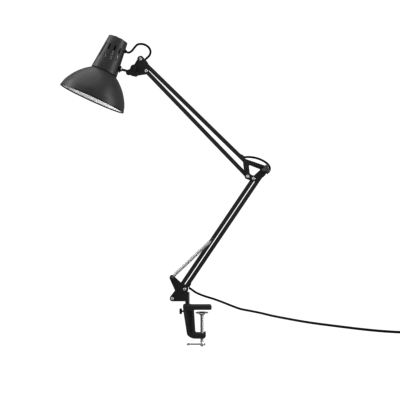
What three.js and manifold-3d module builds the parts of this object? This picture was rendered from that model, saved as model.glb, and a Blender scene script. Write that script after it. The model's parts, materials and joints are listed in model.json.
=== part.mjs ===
// Architect desk lamp with a desk clamp, two parallelogram arms and a tilting shade.
// Millimetres, +Z up. The arms move in the XZ plane and the desk is on the +X side of the clamp.
// The origin is on the flat underside of the clamp's upper jaw, above the clamp screw's axis,
// so the desk top that the jaw rests on is the plane Z = 0.
import * as THREE from 'three';
import { mergeVertices } from 'three/addons/utils/BufferGeometryUtils.js';
import Module from 'manifold-3d';

const wasm = await Module();
wasm.setup();

// ---------------------------------------------------------------- driving dimensions
const GAP = 0.3; // clearance between touching pieces
const TUBE = 9.5; // outside of the square arm tube
const WALL = 1; // arm tube wall
const TUBE_END = 5.5; // how far a tube runs past its pivot
const PLATE = 1.8; // bracket plate thickness
const PIVOT = 2.5; // rivet shank radius
const BOLT = 3; // M6 joint bolt radius
const CORD = 5; // cord diameter

// Pivots, as [x, z].
const BASE_LEFT = [-73.75, 26.75];
const LINK = [30.5, 23.5]; // from the left rod's pivots to the right rod's
const LOWER_LENGTH = 361;
const LOWER_ANGLE = THREE.MathUtils.degToRad(55.95);
const HEAD_TOP = [-153.1, 623.75];
const HEAD_BOTTOM = [-139.25, 594.25];
const KNUCKLE = [-172.5, 591.5];

// Shade: its own frame has Z up the shade's axis and its origin at the centre of the rim.
const RIM = [-274.75, 525.3];
const SHADE_TILT = THREE.MathUtils.degToRad(23.77);
const RIM_RADIUS = 85.2;
const SHEET = 1; // shade sheet thickness
const COWL_BOTTOM = { z: 75.3, r: 33.9 };
const COWL_TOP = { z: 161.8, r: 24.9 };
const STEM_SLOPE = THREE.MathUtils.degToRad(14);
const STEM_RADIUS = 2.9;

// Clamp.
const JAW_WIDTH = 28;
const JAW = 10;
const OPENING = 60.4;
const POST_X = -36.4;
const POST_RADIUS = 5.25;
const SCREW_RADIUS = 4; // M8
const PAD_Z = -8.5; // the pad's upper face
const SET_Z = -5.5; // axis of the thumb screw that locks the post
const HUB_Z = -88; // axis of the tommy bar

// Free cord.
const COIL_MEAN = 30; // mean radius of the coil's turns
const COIL_CENTRE = [459, -345];
const COIL_BASE = 1.4;
const COIL_WIDTH = 3 * CORD; // three turns side by side
const COIL_HEIGHT = 2 * CORD; // in two layers

// ---------------------------------------------------------------- derived places
const along = ([x, z], angle, length) => [x + length * Math.cos(angle), z + length * Math.sin(angle)];
const plus = (a, b) => [a[0] + b[0], a[1] + b[1]];
const heading = (a, b) => Math.atan2(b[1] - a[1], b[0] - a[0]);
const span = (a, b) => Math.hypot(b[0] - a[0], b[1] - a[1]);

const BASE_RIGHT = plus(BASE_LEFT, LINK);
const ELBOW_LEFT = along(BASE_LEFT, LOWER_ANGLE, LOWER_LENGTH);
const ELBOW_RIGHT = plus(ELBOW_LEFT, LINK);
const ARM_INNER = plus(ELBOW_LEFT, [-14.75, 5.5]);
const ARM_OUTER = plus(ELBOW_LEFT, [-19.4, 42.3]);
const ANCHOR = [-75.5, 79];
const SPRING_PIN_RADIUS = 2;
const SPRING_AT = 178.6; // distance of the spring's pin up the left rod
const SPRING_PIN = along(BASE_LEFT, LOWER_ANGLE, SPRING_AT);
const SPRING_Y = 15; // each spring's distance from the middle plane
const INNER_Y = TUBE / 2 + GAP; // inner face of every bracket plate
const OUTER_Y = INNER_Y + PLATE;
const COWL_SLANT = (COWL_BOTTOM.r - COWL_TOP.r) / (COWL_TOP.z - COWL_BOTTOM.z);
const cowlRadius = (z) => COWL_BOTTOM.r - (z - COWL_BOTTOM.z) * COWL_SLANT;

// ---------------------------------------------------------------- materials
const paint = (color, roughness, metalness) =>
  new THREE.MeshStandardMaterial({ color, roughness, metalness });
const blackPaint = paint(0x262626, 0.45, 0.3);
const castBlack = paint(0x2a2a2a, 0.6, 0.3);
const shadePaint = paint(0x3e3e3e, 0.5, 0.2);
const zinc = paint(0xc4c4c0, 0.35, 1);
const springSteel = paint(0xa8a8a8, 0.4, 1);
const blackPlastic = paint(0x1c1c1c, 0.6, 0);
const greyPlastic = paint(0x3c3c3c, 0.55, 0);
const cordVinyl = paint(0x121212, 0.55, 0);
const porcelain = paint(0xe8e4da, 0.4, 0);
const brass = paint(0xb8964a, 0.35, 1);

// ---------------------------------------------------------------- solids
function toManifold(geometry) {
  const bare = geometry.clone();
  bare.deleteAttribute('normal');
  bare.deleteAttribute('uv');
  const merged = mergeVertices(bare, 1e-4);
  const position = merged.attributes.position.array;
  const index = [];
  let volume = 0;
  const corner = (i) => new THREE.Vector3().fromArray(position, 3 * i);
  for (let i = 0; i < merged.index.count; i += 3) {
    const [a, b, c] = [0, 1, 2].map((k) => merged.index.getX(i + k));
    if (a !== b && b !== c && c !== a) {
      index.push(a, b, c);
      volume += corner(a).dot(corner(b).cross(corner(c)));
    }
  }
  if (volume < 0) {
    index.reverse();
  }
  return new wasm.Manifold(new wasm.Mesh({
    numProp: 3,
    vertProperties: Float32Array.from(position),
    triVerts: Uint32Array.from(index),
  }));
}

function toGeometry(solid) {
  const mesh = solid.getMesh();
  const geometry = new THREE.BufferGeometry();
  geometry.setAttribute('position', new THREE.BufferAttribute(mesh.vertProperties, 3));
  geometry.setIndex(new THREE.BufferAttribute(mesh.triVerts, 1));
  return geometry;
}

const cut = (geometry, ...tools) =>
  toGeometry(tools.reduce((solid, tool) => solid.subtract(toManifold(tool)), toManifold(geometry)));
const join = (geometry, ...others) =>
  toGeometry(others.reduce((solid, other) => solid.add(toManifold(other)), toManifold(geometry)));

// Box between two opposite corners.
function box([x0, y0, z0], [x1, y1, z1]) {
  const geometry = new THREE.BoxGeometry(x1 - x0, y1 - y0, z1 - z0);
  return geometry.translate((x0 + x1) / 2, (y0 + y1) / 2, (z0 + z1) / 2);
}

// Revolved profile of [radius, height] points about local Z.
function turned(profile, segments = 20) {
  const points = profile.map(([r, z]) => new THREE.Vector2(r, z));
  return new THREE.LatheGeometry(points, segments).rotateX(Math.PI / 2);
}

// A profile closed on itself, for a ring or an open shell.
const turnedRing = (profile, segments) => turned([...profile, profile[0]], segments);

const rod = (radius, z0, z1, segments = 14) =>
  turned([[0, z0], [radius, z0], [radius, z1], [0, z1]], segments);

// The same along the lamp's depth, at a pivot [x, z].
const across = (geometry, [x, z]) => geometry.rotateX(Math.PI / 2).translate(x, 0, z);
const pin = (radius, depth, place, segments = 12) => across(rod(radius, -depth, depth, segments), place);

// Outline drawn in XZ, extruded from y0 to y1.
function slab(shape, y0, y1, curveSegments = 4) {
  const geometry = new THREE.ExtrudeGeometry(shape, { depth: y1 - y0, bevelEnabled: false, curveSegments });
  return geometry.rotateX(Math.PI / 2).translate(0, y1, 0);
}

// Outline through rounded corners, each [x, z, radius].
function rounded(corners) {
  const shape = new THREE.Shape();
  corners.forEach(([x, z, radius], i) => {
    const before = corners.at(i - 1);
    const after = corners[(i + 1) % corners.length];
    const from = along([x, z], heading([x, z], before), radius);
    const to = along([x, z], heading([x, z], after), radius);
    if (i === 0) {
      shape.moveTo(...from);
    } else {
      shape.lineTo(...from);
    }
    if (radius > 0) {
      shape.quadraticCurveTo(x, z, ...to);
    }
  });
  shape.closePath();
  return shape;
}

// Arc of an outline as points, turning clockwise from one angle to another (degrees).
function arc([x, z], radius, from, to, steps = 8) {
  return Array.from({ length: steps + 1 }, (_, i) => {
    const angle = THREE.MathUtils.degToRad(from + ((to - from) * i) / steps);
    return new THREE.Vector2(x + radius * Math.cos(angle), z + radius * Math.sin(angle));
  });
}

const outline = (...runs) =>
  new THREE.Shape(runs.flat().map((point) => (Array.isArray(point) ? new THREE.Vector2(...point) : point)));

function part(name, geometry, material) {
  const solid = toGeometry(toManifold(geometry));
  const mesh = new THREE.Mesh(solid, material);
  mesh.name = name;
  return mesh;
}

const group = (...children) => new THREE.Group().add(...children);

// ---------------------------------------------------------------- fasteners
// Semi-tubular rivet: domed heads outside the plates, a dimple in each end.
function rivetProfile(shank, head, grip) {
  const rise = 1.7;
  return [
    [0, -grip - 0.7], [1.6, -grip - rise], [head - 1, -grip - rise], [head, -grip - 0.7],
    [head, -grip], [shank, -grip],
  ];
}

function rivet(name, place, head = 4.6) {
  const near = rivetProfile(PIVOT, head, OUTER_Y + GAP);
  const far = near.map(([r, z]) => [r, -z]).reverse();
  return part(name, across(turned([...near, ...far], 12), place), zinc);
}

// Rivet that holds one plate only, where the linkage is left open behind it.
function shortRivet(name, place, side) {
  const near = rivetProfile(PIVOT, 4.6, OUTER_Y + GAP);
  const geometry = turned([...near, [PIVOT, -INNER_Y], [0, -INNER_Y]], 12);
  if (side < 0) {
    geometry.rotateX(Math.PI);
  }
  return part(name, across(geometry, place), zinc);
}

const rivetHole = (place) => pin(PIVOT + GAP, 20, place);
const boltHole = (place) => pin(BOLT + GAP, 20, place);

// Hexagon bolt from the rear plate to the knob in front.
function jointBolt(name, place) {
  const head = rod(5.8, -OUTER_Y - GAP - 4, -OUTER_Y - GAP, 6);
  const shank = rod(BOLT, -OUTER_Y - GAP - 1, OUTER_Y + 9, 12);
  return part(name, across(join(head, shank), place), zinc);
}

// Three-lobed hand knob with a collar towards the plate and a blind bolt hole.
function lobedKnob(name, place, radius, depth, colour) {
  const steps = 30;
  const lobes = 3;
  const phase = THREE.MathUtils.degToRad(78);
  const points = Array.from({ length: steps }, (_, i) => {
    const angle = (2 * Math.PI * i) / steps;
    const r = radius * (0.75 + 0.25 * Math.cos(lobes * (angle - phase)));
    return new THREE.Vector2(place[0] + r * Math.cos(angle), place[1] + r * Math.sin(angle));
  });
  const front = -OUTER_Y - GAP - 2.5;
  const lobe = slab(new THREE.Shape(points), front - depth, front);
  const seat = across(rod(radius * 0.48, OUTER_Y + GAP, -front + 1, 16), place);
  const hole = across(rod(BOLT + GAP, 0, OUTER_Y + 9 + GAP, 12), place);
  return part(name, cut(join(lobe, seat), hole), colour);
}

// ---------------------------------------------------------------- clamp
function clampFrame() {
  const profile = rounded([
    [-47.4, JAW, 2], [-46.2, -3.9, 4], [-36.9, -62.5, 4], [-25, -71.3, 8], [5, -71.3, 3],
    [9.4, -67, 3], [9.4, -58.5, 1.5], [5.4, -58.5, 1], [5.2, -OPENING, 0.5],
    [-16.6, -OPENING, 4], [-20.4, 0, 2.5], [22.8, 0, 1.6], [24.5, 4, 2.4], [22.8, JAW, 3],
  ]);
  const body = slab(profile, -JAW_WIDTH / 2, JAW_WIDTH / 2, 3);
  const collar = turned([[0, 0], [10, 0], [8.8, JAW + 2.4], [0, JAW + 2.4]], 20).translate(POST_X, 0, 0);
  const socket = rod(POST_RADIUS + GAP, -14, 30).translate(POST_X, 0, 0);
  const screwHole = rod(SCREW_RADIUS + GAP, -90, -50);
  const setHole = rod(2 + GAP, -30, 0, 12).rotateY(Math.PI / 2).translate(POST_X, 0, SET_Z);
  const pocket = rounded([[-37, -3, 2], [-29.5, -57, 3], [-22.5, -53, 3], [-25, -3, 2]]);
  const depth = 3;
  const front = slab(pocket, -JAW_WIDTH / 2 - 1, -JAW_WIDTH / 2 + depth, 3);
  const rear = slab(pocket, JAW_WIDTH / 2 - depth, JAW_WIDTH / 2 + 1, 3);
  const tipRadius = 7;
  const corners = [-1, 1].map((side) => {
    const block = box([24.6 - tipRadius, 0, -1], [30, 20, 12]).scale(1, side, 1);
    const middle = JAW_WIDTH / 2 - tipRadius;
    const keep = rod(tipRadius, -2, 13, 20).translate(24.6 - tipRadius, side * middle, 0);
    const inner = box([10, 0, -2], [30, middle, 13]).scale(1, side, 1);
    return cut(block, keep, inner);
  });
  const holes = [socket, screwHole, setHole];
  return part('clamp_frame', cut(join(body, collar), ...holes, front, rear, ...corners), castBlack);
}

// Thumb screw that locks the post: a disc head on an M4 shank.
function thumbScrew() {
  const tip = POST_X - POST_RADIUS - GAP;
  const profile = [
    [0, -56.2], [5.5, -56.2], [7, -55], [7, -51.4], [5.5, -50.2], [2, -50.2], [2, tip], [0, tip],
  ];
  const screw = turned(profile, 16).rotateY(Math.PI / 2).translate(0, 0, SET_Z);
  return part('thumb_screw', screw, blackPlastic);
}

// Dished pad: a flat rim with a conical cup that swivels on the screw's end.
function clampPad() {
  const profile = [
    [0, -7.2], [5.2, -7.2], [8.6, -1.6], [16, -1.4], [16, 0], [7.9, 0], [4.4, -5.8], [0, -5.8],
  ];
  return part('clamp_pad', turned(profile, 20).translate(0, 0, PAD_Z), zinc);
}

function clampScrew() {
  const top = PAD_Z - 7.2 - GAP;
  const profile = [
    [0, HUB_Z - 5.5], [2.2, HUB_Z - 5.5], [4.6, HUB_Z - 3], [4.6, HUB_Z + 3.6], [SCREW_RADIUS, HUB_Z + 5],
    [SCREW_RADIUS, top - 1.5], [2.5, top], [0, top],
  ];
  const barHole = rod(1.7 + GAP, -10, 10, 12).rotateY(Math.PI / 2).translate(0, 0, HUB_Z);
  return part('clamp_screw', cut(turned(profile, 16), barHole), zinc);
}

// Sliding tommy bar with an upset end each side.
function tommyBar() {
  const left = -38.5;
  const right = 8.6;
  const swell = 3;
  const profile = [
    [0, left], [2.2, left + 0.8], [swell, left + 3], [2.4, left + 6], [1.7, left + 7.5],
    [1.7, right - 3], [swell, right - 2.4], [swell, right - 0.8], [2, right], [0, right],
  ];
  return part('tommy_bar', turned(profile, 12).rotateY(Math.PI / 2).translate(0, 0, HUB_Z), zinc);
}

// ---------------------------------------------------------------- base bracket
const PLATE_FOOT = 20.2;

function swivelPost() {
  const top = 42;
  const round = rod(POST_RADIUS, -14 + GAP, top, 20).translate(POST_X, 0, 0);
  const flat = PLATE_FOOT - GAP;
  const sides = [-1, 1].map((side) =>
    box([POST_X - 9, INNER_Y - GAP, flat], [POST_X + GAP, 9, top + 1]).scale(1, side, 1));
  return part('swivel_post', cut(round, ...sides), blackPaint);
}

function basePlateShape() {
  return outline(
    arc(ANCHOR, 5.5, 200, 45), [[-53.5, 66], [-47, 62.5], [-39, 59]],
    arc(BASE_RIGHT, 9, 35, -30, 5), [[POST_X, 42.5], [POST_X, PLATE_FOOT]],
    arc(BASE_LEFT, 6.6, 270, 140, 7), [[-67, 46.5]],
  );
}

// Headed stud for a spring's fixed end, welded to the plate on one side.
// The rod swings between the front and rear studs.
function springStud(side) {
  const end = SPRING_Y + 4;
  const collar = OUTER_Y + 1.6;
  const geometry = turned([
    [0, -end], [3.4, -end], [3.4, -end + 1.6], [SPRING_PIN_RADIUS, -end + 1.6],
    [SPRING_PIN_RADIUS, -collar], [3.4, -collar], [3.4, -OUTER_Y + 0.9], [0, -OUTER_Y + 0.9],
  ], 16);
  if (side < 0) {
    geometry.rotateX(Math.PI);
  }
  return across(geometry, ANCHOR);
}

function basePlate(name, side) {
  const blank = slab(basePlateShape(), side * INNER_Y, side * OUTER_Y);
  const holes = [rivetHole(BASE_LEFT), rivetHole(BASE_RIGHT)];
  return part(name, cut(join(blank, springStud(side)), ...holes), blackPaint);
}

// Cross pin in the rod that a spring hooks on at each end.
function springPin(name, place) {
  const end = SPRING_Y + 4;
  const profile = [[0, -end], [3.4, -end], [3.4, -end + 1.6], [SPRING_PIN_RADIUS, -end + 1.6]];
  const mirrored = profile.map(([r, z]) => [r, -z]).reverse();
  return part(name, across(turned([...profile, ...mirrored], 12), place), blackPaint);
}

// Closed-coil tension spring's body, between its two end hooks.
function spring(name, y) {
  const hook = 8;
  const body = rod(3.5, hook, span(ANCHOR, SPRING_PIN) - hook, 12).rotateY(Math.PI / 2);
  const mesh = part(name, body, springSteel);
  mesh.position.set(ANCHOR[0], y, ANCHOR[1]);
  mesh.rotation.y = -heading(ANCHOR, SPRING_PIN);
  return mesh;
}

// ---------------------------------------------------------------- arm rods
// Square tube along local X from its first pivot. Its outer side is local -Z.
const SLEEVE_FROM = 9;
const SLEEVE_TO = 22;
const SLOT = { from: 11, to: 19, half: 2.6 };

function tube(name, length, holes, sleeved) {
  const half = TUBE / 2;
  const bore = half - WALL;
  const outer = box([-TUBE_END, -half, -half], [length + TUBE_END, half, half]);
  const inner = box([-TUBE_END - 1, -bore, -bore], [length + TUBE_END + 1, bore, bore]);
  const cuts = holes.map(([x, radius]) => pin(radius + GAP, 10, [x, 0]));
  if (sleeved) {
    cuts.push(box([SLOT.from, -SLOT.half, -half - 1], [SLOT.to, SLOT.half, 0]));
    cuts.push(box([length - SLOT.to, -SLOT.half, -half - 1], [length - SLOT.from, SLOT.half, 0]));
  }
  return part(name, cut(outer, inner, ...cuts), blackPaint);
}

// Cord sleeve clipped into a slot at one end of a tube.
function sleeve(name, length, atEnd) {
  const face = TUBE / 2 + GAP;
  const cover = slab(rounded([
    [SLEEVE_FROM, -face, 0], [SLEEVE_FROM, -face - 2.3, 0.8], [17, -face - 1.8, 2], [SLEEVE_TO, -face, 0],
  ]), -4.4, 4.4, 3);
  const width = SLOT.half - GAP;
  const foot = box([SLOT.from + GAP, -width, -face - 0.5], [SLOT.to - GAP, width, -face + 2]);
  const geometry = join(cover, foot);
  if (atEnd) {
    geometry.rotateZ(Math.PI).translate(length, 0, 0);
  }
  return part(name, geometry, blackPlastic);
}

// Cord inside a tube, between its two sleeves.
const innerLead = (name, length) =>
  part(name, rod(2.4, SLEEVE_TO, length - SLEEVE_TO, 8).rotateY(Math.PI / 2), cordVinyl);

function placedRod(from, to, ...children) {
  const placed = group(...children);
  placed.position.set(from[0], 0, from[1]);
  placed.rotation.y = -heading(from, to);
  return placed;
}

function lowerRods() {
  const leftHoles = [[0, PIVOT], [SPRING_AT, SPRING_PIN_RADIUS], [LOWER_LENGTH, PIVOT]];
  const left = tube('lower_rod_left', LOWER_LENGTH, leftHoles, false);
  const right = tube('lower_rod_right', LOWER_LENGTH, [[0, PIVOT], [LOWER_LENGTH, BOLT]], true);
  return [
    placedRod(BASE_LEFT, ELBOW_LEFT, left),
    placedRod(
      BASE_RIGHT, ELBOW_RIGHT, right,
      sleeve('sleeve_lower_base', LOWER_LENGTH, false),
      sleeve('sleeve_lower_elbow', LOWER_LENGTH, true),
      innerLead('lead_in_lower_rod', LOWER_LENGTH),
    ),
  ];
}

function upperRods() {
  const outerLength = span(ARM_OUTER, HEAD_TOP);
  const innerLength = span(ARM_INNER, HEAD_BOTTOM);
  const outer = tube('upper_rod_outer', outerLength, [[0, PIVOT], [outerLength, PIVOT]], true);
  const inner = tube('upper_rod_inner', innerLength, [[0, PIVOT], [innerLength, PIVOT]], false);
  return [
    placedRod(
      ARM_OUTER, HEAD_TOP, outer,
      sleeve('sleeve_upper_elbow', outerLength, false),
      sleeve('sleeve_upper_head', outerLength, true),
      innerLead('lead_in_upper_rod', outerLength),
    ),
    placedRod(ARM_INNER, HEAD_BOTTOM, inner),
  ];
}

// ---------------------------------------------------------------- elbow
function elbowPlate(name, y0, y1) {
  const shape = outline(
    arc(ARM_OUTER, 6, 185, 68, 5),
    arc(ELBOW_RIGHT, 7.6, 68, -34, 6), [[150, 327.5], [138.8, 316.8], [132.5, 319.2]],
    arc(ELBOW_LEFT, 6.6, 290, 262, 2), arc(ARM_INNER, 6.6, 255, 190, 4),
  );
  const window = rounded([[116.5, 361, 4], [147, 349.2, 3], [129, 332.6, 3.5], [119, 337.4, 3]]);
  const holes = [rivetHole(ELBOW_LEFT), rivetHole(ARM_INNER), rivetHole(ARM_OUTER), boltHole(ELBOW_RIGHT)];
  return part(name, cut(slab(shape, y0, y1), slab(window, y0 - 1, y1 + 1, 3), ...holes), blackPaint);
}

// Flush pin: countersunk almost level with the plates.
function flushPin(name, place) {
  const end = OUTER_Y + 0.5;
  return part(name, pin(PIVOT, end, place), blackPaint);
}

// ---------------------------------------------------------------- head bracket
function headPlate(name, y0, y1) {
  const shape = outline(
    arc(HEAD_TOP, 8, 185, 48, 7), [[-135, 614], [-133.2, 606]],
    arc(HEAD_BOTTOM, 6.3, 15, -90, 6),
    arc(KNUCKLE, 8.5, 285, 130, 8), [[-167.6, 611.5]],
  );
  const holes = [rivetHole(HEAD_TOP), rivetHole(HEAD_BOTTOM), boltHole(KNUCKLE)];
  return part(name, cut(slab(shape, y0, y1), ...holes), blackPaint);
}

// ---------------------------------------------------------------- shade, in its own frame
// [x, z] of a place in the shade's frame.
function toShade([x, z]) {
  const [dx, dz] = [x - RIM[0], z - RIM[1]];
  const [c, s] = [Math.cos(SHADE_TILT), Math.sin(SHADE_TILT)];
  return [dx * c - dz * s, dx * s + dz * c];
}

const STEM_FROM = toShade(KNUCKLE);
const STEM_HEADING = Math.PI - STEM_SLOPE + SHADE_TILT; // along the stem, from the knuckle to the cowl

// Distance along the stem from the knuckle to the cowl's outside.
function stemReach() {
  const [x, z] = STEM_FROM;
  const [c, s] = [Math.cos(STEM_HEADING), Math.sin(STEM_HEADING)];
  return (x - cowlRadius(z)) / -(c + COWL_SLANT * s);
}

// Geometry built along +Z from the knuckle, laid along the stem.
function onStem(geometry) {
  return geometry.rotateY(Math.PI / 2 - STEM_HEADING).translate(STEM_FROM[0], 0, STEM_FROM[1]);
}

const REACH = stemReach();

function headStem() {
  const eye = pin(8, TUBE / 2 - GAP, STEM_FROM, 20);
  const bar = onStem(rod(STEM_RADIUS, 4, REACH + 9, 12));
  return part('head_stem', cut(join(eye, bar), boltHole(STEM_FROM)), blackPaint);
}

function stemWashers() {
  const bore = STEM_RADIUS + GAP;
  const off = 1.2; // the flange is flat and the cowl is round
  const seat = REACH - off;
  const flange = turnedRing([
    [bore, seat - 3], [7.4, seat - 3], [8.6, seat - 2], [8.6, seat], [bore, seat],
  ], 16);
  const hexagon = (radius, from, to) => cut(rod(radius, from, to, 6), rod(bore, from - 1, to + 1, 12));
  const nut = hexagon(5.2, seat - 6.6, seat - 3 - GAP);
  const inside = REACH + SHEET + 1.3;
  const lock = hexagon(5.2, inside, inside + 3);
  return [
    part('stem_flange', onStem(flange), blackPlastic),
    part('stem_nut', onStem(nut), zinc),
    part('stem_lock_nut', onStem(lock), zinc),
  ];
}

function cowl() {
  const dome = 3;
  const crown = [[COWL_TOP.r - 1.6, 1.2], [COWL_TOP.r * 0.6, 2.4]];
  const outer = [
    [COWL_BOTTOM.r, COWL_BOTTOM.z], [COWL_TOP.r, COWL_TOP.z],
    ...crown.map(([r, rise]) => [r, COWL_TOP.z + rise]), [0, COWL_TOP.z + dome],
  ];
  const inner = [
    [0, COWL_TOP.z + dome - SHEET],
    ...crown.map(([r, rise]) => [r - 0.6, COWL_TOP.z + rise - SHEET]).reverse(),
    [COWL_TOP.r - SHEET, COWL_TOP.z - SHEET], [COWL_BOTTOM.r - SHEET, COWL_BOTTOM.z],
  ];
  const shell = turned([...outer, ...inner, outer[0]], 24);
  // Six slots in front and five behind, staggered so that none faces another.
  const slots = Array.from({ length: 11 }, (_, i) => {
    const turn = THREE.MathUtils.degToRad(30 * i - 77 + (i > 5 ? 15 : 0));
    return box([-1.9, -50, 104], [1.9, -10, 142]).rotateZ(turn);
  });
  const opening = box([-SWITCH.length / 2 - GAP, -SWITCH.width / 2 - GAP, 150],
    [SWITCH.length / 2 + GAP, SWITCH.width / 2 + GAP, 175]);
  const stemHole = onStem(rod(STEM_RADIUS + GAP, REACH - 8, REACH + 8, 16));
  const glandHole = rod(3.2 + GAP, 15, 45, 16).rotateY(Math.PI / 2).translate(0, 0, GLAND_Z);
  return part('cowl', cut(shell, ...slots, opening, stemHole, glandHole), shadePaint);
}

function bowl() {
  const outer = [
    [84.6, 2.2], [81, 15.5], [74, 29.5], [62, 47], [46.4, 63], [34, 72.4], [31.7, 75.3], [31.7, 82],
  ];
  const bead = [[82.8, 0], [83.4, -1.4], [RIM_RADIUS, -0.8], [RIM_RADIUS, 0.8]];
  const inner = outer.slice(0, -2).map(([r, z]) => [r - SHEET, z - 0.35]);
  const neck = [[31.7 - SHEET, 75], [31.7 - SHEET, 82]];
  const profile = [...outer, ...neck.reverse(), ...inner.reverse(), ...bead];
  return part('bowl_shade', turnedRing(profile, 32), shadePaint);
}

// Lampholder with its screw shell, contact and carrier plate, on the shade's axis.
function lampholder() {
  const body = turnedRing([
    [14.4, 86], [18.5, 86], [19.5, 90], [19.5, 112], [17.5, 124], [13, 131], [2, 131], [2, 125],
    [14.4, 118],
  ], 20);
  const shell = turnedRing([[13.2, 90], [14.1, 90], [14.1, 114], [13.2, 114]], 20);
  const contact = turned([[0, 116], [4, 116], [4, 117.5], [1.6, 118.5], [1.6, 128], [0, 128]], 12);
  const plateZ = 96;
  const plateOut = cowlRadius(plateZ + 1.5) - SHEET - GAP - 0.3;
  const plate = turnedRing([
    [19.8, plateZ], [plateOut, plateZ], [plateOut, plateZ + 1.5], [19.8, plateZ + 1.5],
  ], 20);
  const vents = Array.from({ length: 3 }, (_, i) =>
    rod(3.2, 80, 110, 12).translate(0, 25.6, 0).rotateZ((Math.PI / 3) * (2 * i + 0.5)));
  const notch = onStem(rod(7, REACH - 2, REACH + 14, 16));
  return [
    part('lampholder_body', body, porcelain),
    part('lampholder_shell', shell, brass),
    part('lampholder_contact', contact, brass),
    part('lampholder_carrier', cut(plate, ...vents, notch), zinc),
  ];
}

// Rocker switch in the crown of the cowl. Its button pivots about local Y.
const SWITCH = { length: 19, width: 12, top: 165.7, pivot: 163.6 };

function rockerSwitch() {
  const [l, w] = [SWITCH.length / 2, SWITCH.width / 2];
  const flange = box([-l - 1.2, -w - 1.2, SWITCH.top - 0.6], [l + 1.2, w + 1.2, SWITCH.top + 0.4]);
  const block = box([-l, -w, 147], [l, w, SWITCH.top]);
  const well = box([-l + 1, -w + 1, 155], [l - 1, w - 1, 180]);
  const housing = cut(join(flange, block), well);
  const half = l - 1.7;
  const faceRise = 1.9;
  const button = slab(rounded([
    [-half, SWITCH.pivot + 4.2, 0.6], [0, SWITCH.pivot + faceRise, 4], [half, SWITCH.pivot + 1.8, 0.6],
    [half - 0.6, SWITCH.pivot - 1, 0.4], [0, SWITCH.pivot - 4, 2], [-half + 0.9, SWITCH.pivot - 1, 0.4],
  ]), -w + 1.5, w - 1.5, 3);
  return [part('switch_housing', housing, blackPlastic), part('rocker_button', button, blackPlastic)];
}

const GLAND_Z = 142;

function cordGland() {
  const wall = cowlRadius(GLAND_Z);
  const bore = CORD / 2 + GAP;
  const behind = wall - SHEET - GAP - 0.6;
  const front = wall + GAP + 0.4;
  const profile = [
    [bore, wall - 4], [4.3, wall - 4], [4.3, behind], [3.2, behind], [3.2, front], [4.8, front],
    [4.4, wall + 2.4], [3.5, wall + 4.6], [bore, wall + 4.6],
  ];
  const gland = turnedRing(profile, 12).rotateY(Math.PI / 2).translate(0, 0, GLAND_Z);
  return part('cord_gland', gland, blackPlastic);
}

function shade() {
  const assembly = group(
    headStem(), ...stemWashers(), cowl(), bowl(), ...lampholder(), ...rockerSwitch(), cordGland(),
  );
  assembly.position.set(RIM[0], 0, RIM[1]);
  assembly.rotation.y = SHADE_TILT;
  return assembly;
}

// ---------------------------------------------------------------- cords
function cord(name, points, steps, radius = CORD / 2) {
  const curve = new THREE.CatmullRomCurve3(points.map((p) => new THREE.Vector3(...p)));
  const section = new THREE.Shape();
  section.absarc(0, 0, radius, 0, 2 * Math.PI);
  const tubing = new THREE.ExtrudeGeometry(section, { steps, extrudePath: curve, curveSegments: 4 });
  return part(name, tubing, cordVinyl);
}

const inPlane = (points) => points.map(([x, z]) => [x, 0, z]);

// From the gland on the cowl to the sleeve at the head end of the upper rod.
const HEAD_LOOP = inPlane([
  [-188.2, 641.8], [-182.6, 641.2], [-176, 644.8], [-167.6, 655], [-161.6, 660.8], [-153.6, 662.6],
  [-142.6, 660.6], [-133, 653.6], [-128.7, 644], [-131, 634.6], [-136.6, 628.4], [-142, 623.9],
]);

// From the sleeve at the elbow end of the upper rod, round the knob, to the lower rod's sleeve.
const ELBOW_LOOP = inPlane([
  [108.2, 378.6], [113, 379.6], [121, 379.8], [133, 378], [147, 373.4], [159, 366.6], [166.8, 359.2],
  [169.6, 351.4], [167.6, 344], [161.4, 338.6],
]);

// From the lower rod's base sleeve, over the desk, to the coil.
const MAINS_ROUTE = [
  [-32, -0.6, 53], [-24, -2, 47.6], [-14.2, -4, 41.3], [6, -8.6, 33.6], [29.7, -14, 27], [51, -20, 20],
  [72, -27, 12.6], [94, -35, 5.8], [118.4, -46, 2.6], [140, -76, 2.6], [164.4, -116, 2.6], [193, -153, 2.6],
  [222, -187.6, 2.6], [249, -214, 2.6], [277.5, -237, 2.6], [304, -258, 2.6], [331, -277.8, 2.6],
  [357, -294, 2.6], [384, -306, 2.6], [406, -313, 2.8], [428, -316, 3.6],
];

// From the coil to the plug.
const TAIL_ROUTE = [
  [470, -305.8, 8.2], [480, -306.6, 7.5], [490, -307.2, 7.1], [500.5, -307.4, 6.9],
];

function coil() {
  const [inner, outer] = [COIL_MEAN - COIL_WIDTH / 2, COIL_MEAN + COIL_WIDTH / 2];
  const top = COIL_BASE + COIL_HEIGHT;
  const bevel = 2;
  const ring = turnedRing([
    [inner + bevel, COIL_BASE], [outer - bevel, COIL_BASE], [outer, COIL_BASE + bevel],
    [outer, top - bevel], [outer - bevel, top], [inner + bevel, top], [inner, top - bevel],
    [inner, COIL_BASE + bevel],
  ], 28);
  return part('mains_coil', ring.translate(COIL_CENTRE[0], COIL_CENTRE[1], 0), cordVinyl);
}

// Strap round the coil's turns.
function coilTie() {
  const clear = GAP + 0.1;
  const strap = 0.9;
  const width = 6;
  const block = (spare, length) =>
    new THREE.BoxGeometry(COIL_WIDTH + 2 * spare, length, COIL_HEIGHT + 2 * spare);
  const tie = cut(block(clear + strap, width), block(clear, width + 2));
  const middle = COIL_BASE + COIL_HEIGHT / 2;
  return part('coil_tie', tie.translate(COIL_CENTRE[0] + COIL_MEAN, COIL_CENTRE[1], middle), blackPlastic);
}

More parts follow.
